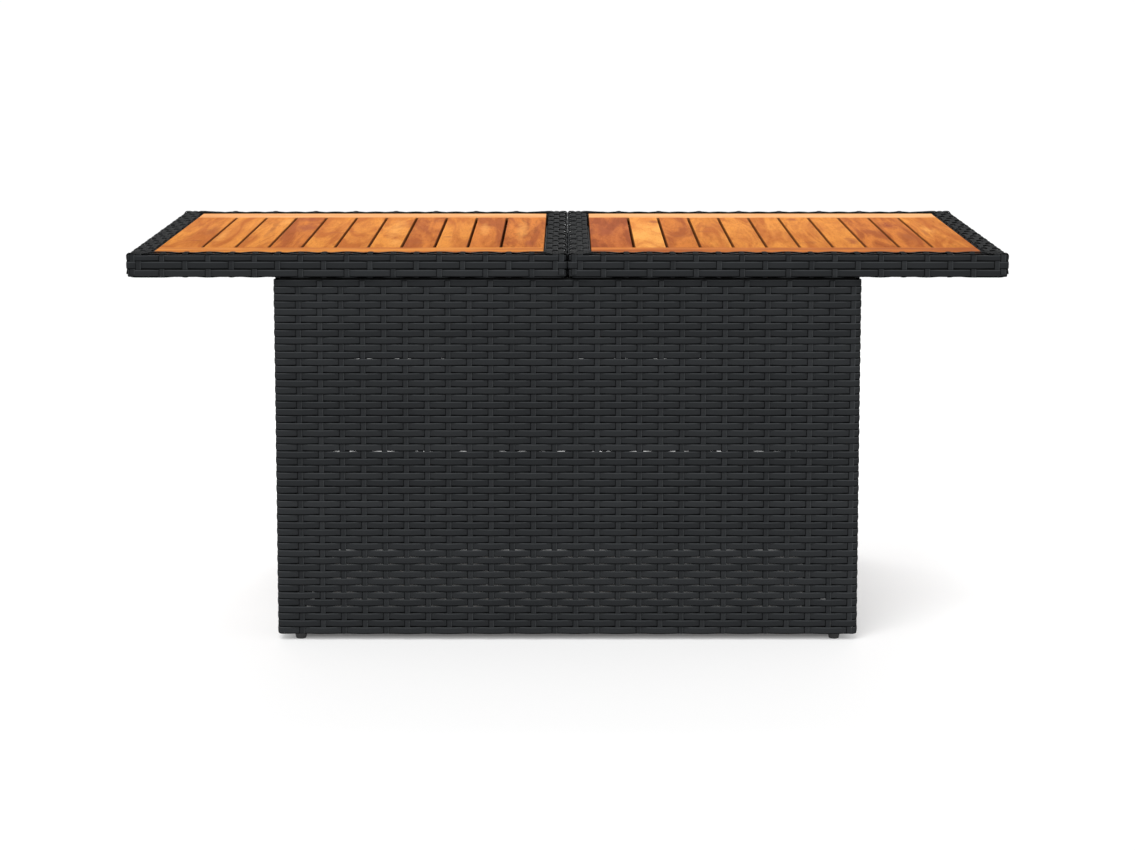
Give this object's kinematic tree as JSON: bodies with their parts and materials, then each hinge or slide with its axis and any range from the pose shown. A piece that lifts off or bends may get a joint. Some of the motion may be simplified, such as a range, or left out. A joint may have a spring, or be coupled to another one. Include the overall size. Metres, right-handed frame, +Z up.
{
  "type": "garden coffee table",
  "caption": "Low rectangular garden coffee table: a hollow dark woven box base under two square woven-edged tops of hardwood slats, on small levelling feet.",
  "frame": {"origin": "on the floor under the middle of the table, feet screwed fully in", "axes": "+X along the long side to the right, +Y from the front to the back, +Z up"},
  "size_m": [1, 0.5, 0.45],
  "materials": {
    "woven_resin": "dark grey flat woven resin strand, satin",
    "coated_steel": "black powder coat",
    "hardwood_light": "oiled light golden hardwood",
    "hardwood_dark": "oiled reddish golden hardwood",
    "foot_plastic": "black moulded",
    "zinc_plate": "zinc plated"
  },
  "bodies": {
    "table": {"base_weave": "woven_resin", "base_bottom_rail_front": "coated_steel", "base_bottom_rail_back": "coated_steel", "base_bottom_rail_left": "coated_steel", "base_bottom_rail_right": "coated_steel", "base_top_rail_front": "coated_steel", "base_top_rail_back": "coated_steel", "base_top_rail_left": "coated_steel", "base_top_rail_right": "coated_steel", "base_post_front_left": "coated_steel", "base_post_front_right": "coated_steel", "base_post_back_left": "coated_steel", "base_post_back_right": "coated_steel", "base_upright_left": "coated_steel", "base_upright_right": "coated_steel", "left_top_frame": "coated_steel", "left_rim_weave_front": "woven_resin", "left_rim_weave_back": "woven_resin", "left_rim_weave_outer": "woven_resin", "left_rim_weave_inner": "woven_resin", "left_rail_board_front": "hardwood_light", "left_rail_board_back": "hardwood_light", "left_stile_outer": "hardwood_dark", "left_stile_inner": "hardwood_dark", "left_slat_1": "hardwood_dark", "left_slat_2": "hardwood_light", "left_slat_3": "hardwood_dark", "left_slat_4": "hardwood_light", "left_slat_5": "hardwood_dark", "left_slat_6": "hardwood_light", "left_slat_7": "hardwood_dark", "left_slat_8": "hardwood_light", "left_slat_9": "hardwood_dark", "right_top_frame": "coated_steel", "right_rim_weave_front": "woven_resin", "right_rim_weave_back": "woven_resin", "right_rim_weave_outer": "woven_resin", "right_rim_weave_inner": "woven_resin", "right_rail_board_front": "hardwood_light", "right_rail_board_back": "hardwood_light", "right_stile_outer": "hardwood_dark", "right_stile_inner": "hardwood_dark", "right_slat_1": "hardwood_dark", "right_slat_2": "hardwood_light", "right_slat_3": "hardwood_dark", "right_slat_4": "hardwood_light", "right_slat_5": "hardwood_dark", "right_slat_6": "hardwood_light", "right_slat_7": "hardwood_dark", "right_slat_8": "hardwood_light", "right_slat_9": "hardwood_dark", "top_bolt_front_left": "zinc_plate", "top_bolt_front_right": "zinc_plate", "top_bolt_back_left": "zinc_plate", "top_bolt_back_right": "zinc_plate"},
    "foot_front_left": {"foot_front_left": "foot_plastic"},
    "foot_front_right": {"foot_front_right": "foot_plastic"},
    "foot_back_left": {"foot_back_left": "foot_plastic"},
    "foot_back_right": {"foot_back_right": "foot_plastic"}
  },
  "joints": [
    {"name": "foot_front_left_level", "type": "slide", "parent": "table", "child": "foot_front_left", "axis": [0, 0, -1], "range_m": [0, 0.008]},
    {"name": "foot_front_right_level", "type": "slide", "parent": "table", "child": "foot_front_right", "axis": [0, 0, -1], "range_m": [0, 0.008]},
    {"name": "foot_back_left_level", "type": "slide", "parent": "table", "child": "foot_back_left", "axis": [0, 0, -1], "range_m": [0, 0.008]},
    {"name": "foot_back_right_level", "type": "slide", "parent": "table", "child": "foot_back_right", "axis": [0, 0, -1], "range_m": [0, 0.008]}
  ]
}
